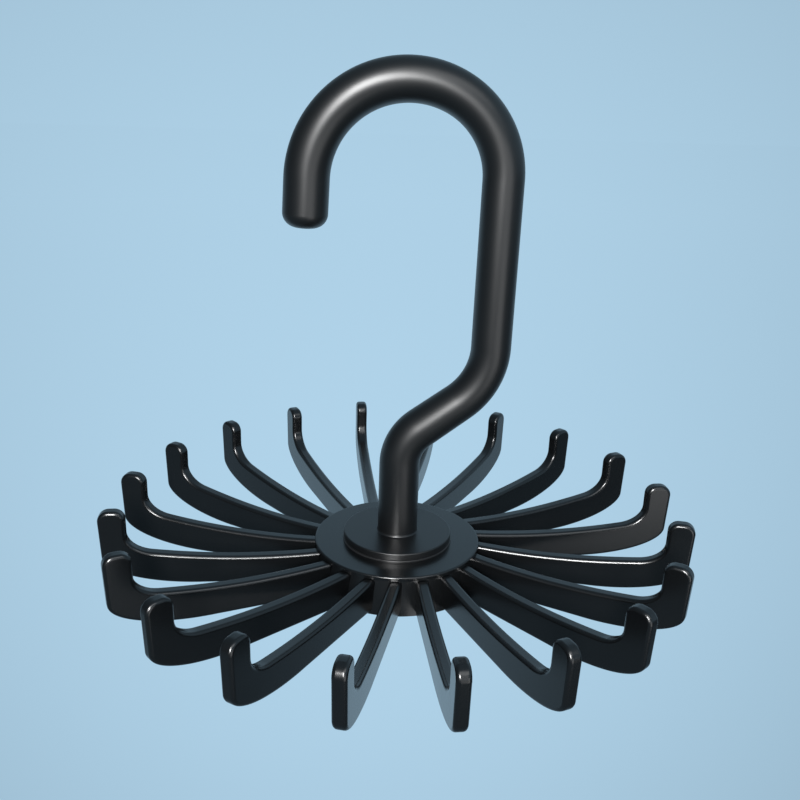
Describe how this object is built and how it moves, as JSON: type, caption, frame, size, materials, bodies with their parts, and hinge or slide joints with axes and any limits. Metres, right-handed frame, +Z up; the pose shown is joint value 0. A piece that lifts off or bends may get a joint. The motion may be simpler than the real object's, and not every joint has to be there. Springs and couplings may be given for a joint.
{
  "type": "tie hanger",
  "caption": "Black plastic tie hanger: a swan-necked closet hook that carries a turning wheel of flat arms with upturned tips.",
  "frame": {"origin": "bottom centre: the wheel's turning axis at the plane of the hub's underside", "axes": "+Z up along the wheel's turning axis; the hook lies in the XZ plane with its upright leg on the +X side"},
  "size_m": [0.1392, 0.1392, 0.1205],
  "materials": {
    "hook_plastic": "satin-gloss black moulded plastic",
    "wheel_plastic": "satin-gloss black moulded plastic",
    "bush_plastic": "dark low-friction plastic",
    "steel": "zinc-plated steel"
  },
  "bodies": {
    "hanger": {"hanging_hook": "hook_plastic", "collar_disc": "hook_plastic", "retaining_washer": "steel", "retaining_screw": "steel"},
    "wheel": {"hub_plate": "wheel_plastic", "hub_drum": "wheel_plastic", "pivot_bush": "bush_plastic", "thrust_washer": "bush_plastic", "tie_arm_01": "wheel_plastic", "tie_arm_02": "wheel_plastic", "tie_arm_03": "wheel_plastic", "tie_arm_04": "wheel_plastic", "tie_arm_05": "wheel_plastic", "tie_arm_06": "wheel_plastic", "tie_arm_07": "wheel_plastic", "tie_arm_08": "wheel_plastic", "tie_arm_09": "wheel_plastic", "tie_arm_10": "wheel_plastic", "tie_arm_11": "wheel_plastic", "tie_arm_12": "wheel_plastic", "tie_arm_13": "wheel_plastic", "tie_arm_14": "wheel_plastic", "tie_arm_15": "wheel_plastic", "tie_arm_16": "wheel_plastic", "tie_arm_17": "wheel_plastic", "tie_arm_18": "wheel_plastic", "tie_arm_19": "wheel_plastic", "tie_arm_20": "wheel_plastic"}
  },
  "joints": [
    {"name": "wheel_swivel", "type": "hinge", "parent": "hanger", "child": "wheel", "pos_m": [0, 0, 0.0065], "axis": [0, 0, 1], "continuous": true}
  ]
}
